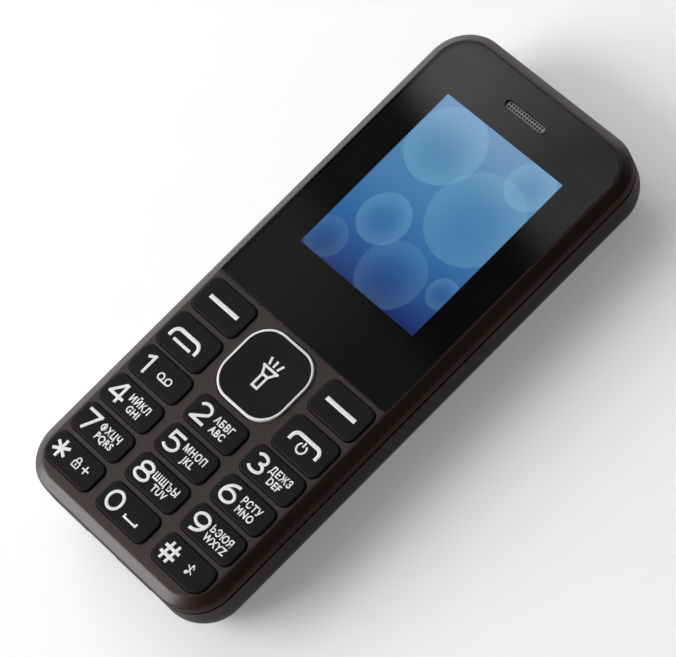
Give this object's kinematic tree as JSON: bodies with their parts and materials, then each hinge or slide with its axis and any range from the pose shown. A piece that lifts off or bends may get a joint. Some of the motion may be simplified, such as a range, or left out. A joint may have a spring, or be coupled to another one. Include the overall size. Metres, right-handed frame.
{
  "type": "feature phone",
  "caption": "Bar phone with a keypad, a square navigation key with a light ring, a display under a black window and a lift-off rear cover",
  "frame": {"origin": "under the middle of the body, on the plane of the back", "axes": "X across the phone, Y towards the earpiece end, Z out of the display"},
  "size_m": [0.0454, 0.1058, 0.0132],
  "materials": {
    "front_shell": "satin brown-black moulded plastic with a fine spark texture",
    "cover_shell": "fine-textured brown-black moulded plastic",
    "window": "gloss window, black outside the display",
    "key_black": "satin black moulded plastic with white printed signs",
    "ring_white": "white satin plastic",
    "grille_grey": "grey woven mesh",
    "inner_black": "black moulded plastic",
    "panel": "lit display panel",
    "tray_white": "white backlight tray",
    "film": "amber flexible film",
    "silicone": "translucent silicone rubber",
    "dome_steel": "thin spring steel domes on film",
    "board_green": "green coated board",
    "can_steel": "tinned steel sheet",
    "contact_brass": "gold-plated spring metal",
    "torch_clear": "clear plastic",
    "battery_wrap": "aluminium cell in a plain dark wrap"
  },
  "bodies": {
    "battery_cover": {"rear_cover": "cover_shell"},
    "phone": {"front_housing": "front_shell", "display_lens": "window", "earpiece_grille": "grille_grey", "earpiece": "inner_black", "lcd_panel": "panel", "lcd_frame": "tray_white", "lcd_flex": "film", "keypad_mat": "silicone", "dome_sheet": "dome_steel", "circuit_board": "board_green", "shield_can_base": "can_steel", "shield_can_radio": "can_steel", "sim_holder_left": "can_steel", "sim_holder_right": "can_steel", "memory_card_holder": "can_steel", "battery_connector": "contact_brass", "usb_socket": "can_steel", "audio_jack": "inner_black", "microphone": "can_steel", "torch_led": "torch_clear", "torch_lens": "torch_clear", "vibration_motor": "can_steel", "loudspeaker": "inner_black", "antenna": "contact_brass", "rear_chassis": "inner_black", "chassis_screws": "can_steel", "battery": "battery_wrap"},
    "key_1_cap": {"key_1": "key_black"},
    "key_2_cap": {"key_2": "key_black"},
    "key_3_cap": {"key_3": "key_black"},
    "key_4_cap": {"key_4": "key_black"},
    "key_5_cap": {"key_5": "key_black"},
    "key_6_cap": {"key_6": "key_black"},
    "key_7_cap": {"key_7": "key_black"},
    "key_8_cap": {"key_8": "key_black"},
    "key_9_cap": {"key_9": "key_black"},
    "key_star_cap": {"key_star": "key_black"},
    "key_0_cap": {"key_0": "key_black"},
    "key_hash_cap": {"key_hash": "key_black"},
    "soft_key_left_cap": {"soft_key_left": "key_black"},
    "soft_key_right_cap": {"soft_key_right": "key_black"},
    "call_key_cap": {"call_key": "key_black"},
    "end_key_cap": {"end_key": "key_black"},
    "nav_nub": {"nav_plunger": "silicone"},
    "nav_rocker": {"nav_carrier": "inner_black"},
    "nav_cap": {"nav_key": "key_black", "nav_ring": "ring_white"}
  },
  "joints": [
    {"name": "cover_lift", "type": "slide", "parent": "battery_cover", "child": "phone", "axis": [0, 0, 1], "range_m": [0, 0.014]},
    {"name": "key_1_press", "type": "slide", "parent": "phone", "child": "key_1_cap", "axis": [0, 0, -1], "range_m": [0, 0.0003], "stiffness_N_per_m": 4000},
    {"name": "key_2_press", "type": "slide", "parent": "phone", "child": "key_2_cap", "axis": [0, 0, -1], "range_m": [0, 0.0003], "stiffness_N_per_m": 4000},
    {"name": "key_3_press", "type": "slide", "parent": "phone", "child": "key_3_cap", "axis": [0, 0, -1], "range_m": [0, 0.0003], "stiffness_N_per_m": 4000},
    {"name": "key_4_press", "type": "slide", "parent": "phone", "child": "key_4_cap", "axis": [0, 0, -1], "range_m": [0, 0.0003], "stiffness_N_per_m": 4000},
    {"name": "key_5_press", "type": "slide", "parent": "phone", "child": "key_5_cap", "axis": [0, 0, -1], "range_m": [0, 0.0003], "stiffness_N_per_m": 4000},
    {"name": "key_6_press", "type": "slide", "parent": "phone", "child": "key_6_cap", "axis": [0, 0, -1], "range_m": [0, 0.0003], "stiffness_N_per_m": 4000},
    {"name": "key_7_press", "type": "slide", "parent": "phone", "child": "key_7_cap", "axis": [0, 0, -1], "range_m": [0, 0.0003], "stiffness_N_per_m": 4000},
    {"name": "key_8_press", "type": "slide", "parent": "phone", "child": "key_8_cap", "axis": [0, 0, -1], "range_m": [0, 0.0003], "stiffness_N_per_m": 4000},
    {"name": "key_9_press", "type": "slide", "parent": "phone", "child": "key_9_cap", "axis": [0, 0, -1], "range_m": [0, 0.0003], "stiffness_N_per_m": 4000},
    {"name": "key_star_press", "type": "slide", "parent": "phone", "child": "key_star_cap", "axis": [0, 0, -1], "range_m": [0, 0.0003], "stiffness_N_per_m": 4000},
    {"name": "key_0_press", "type": "slide", "parent": "phone", "child": "key_0_cap", "axis": [0, 0, -1], "range_m": [0, 0.0003], "stiffness_N_per_m": 4000},
    {"name": "key_hash_press", "type": "slide", "parent": "phone", "child": "key_hash_cap", "axis": [0, 0, -1], "range_m": [0, 0.0003], "stiffness_N_per_m": 4000},
    {"name": "soft_key_left_press", "type": "slide", "parent": "phone", "child": "soft_key_left_cap", "axis": [0, 0, -1], "range_m": [0, 0.0003], "stiffness_N_per_m": 4000},
    {"name": "soft_key_right_press", "type": "slide", "parent": "phone", "child": "soft_key_right_cap", "axis": [0, 0, -1], "range_m": [0, 0.0003], "stiffness_N_per_m": 4000},
    {"name": "call_key_press", "type": "slide", "parent": "phone", "child": "call_key_cap", "axis": [0, 0, -1], "range_m": [0, 0.0003], "stiffness_N_per_m": 4000},
    {"name": "end_key_press", "type": "slide", "parent": "phone", "child": "end_key_cap", "axis": [0, 0, -1], "range_m": [0, 0.0003], "stiffness_N_per_m": 4000},
    {"name": "nav_press", "type": "slide", "parent": "phone", "child": "nav_nub", "axis": [0, 0, -1], "range_m": [0, 0.0003], "stiffness_N_per_m": 5000},
    {"name": "nav_up_down", "type": "hinge", "parent": "nav_nub", "child": "nav_rocker", "pos_m": [0, -0.01496, 0.0105], "axis": [1, 0, 0], "range_deg": [-2, 2], "stiffness_Nm_per_rad": 0.2},
    {"name": "nav_left_right", "type": "hinge", "parent": "nav_rocker", "child": "nav_cap", "pos_m": [0, -0.01496, 0.01135], "axis": [0, 1, 0], "range_deg": [-2, 2], "stiffness_Nm_per_rad": 0.2}
  ]
}
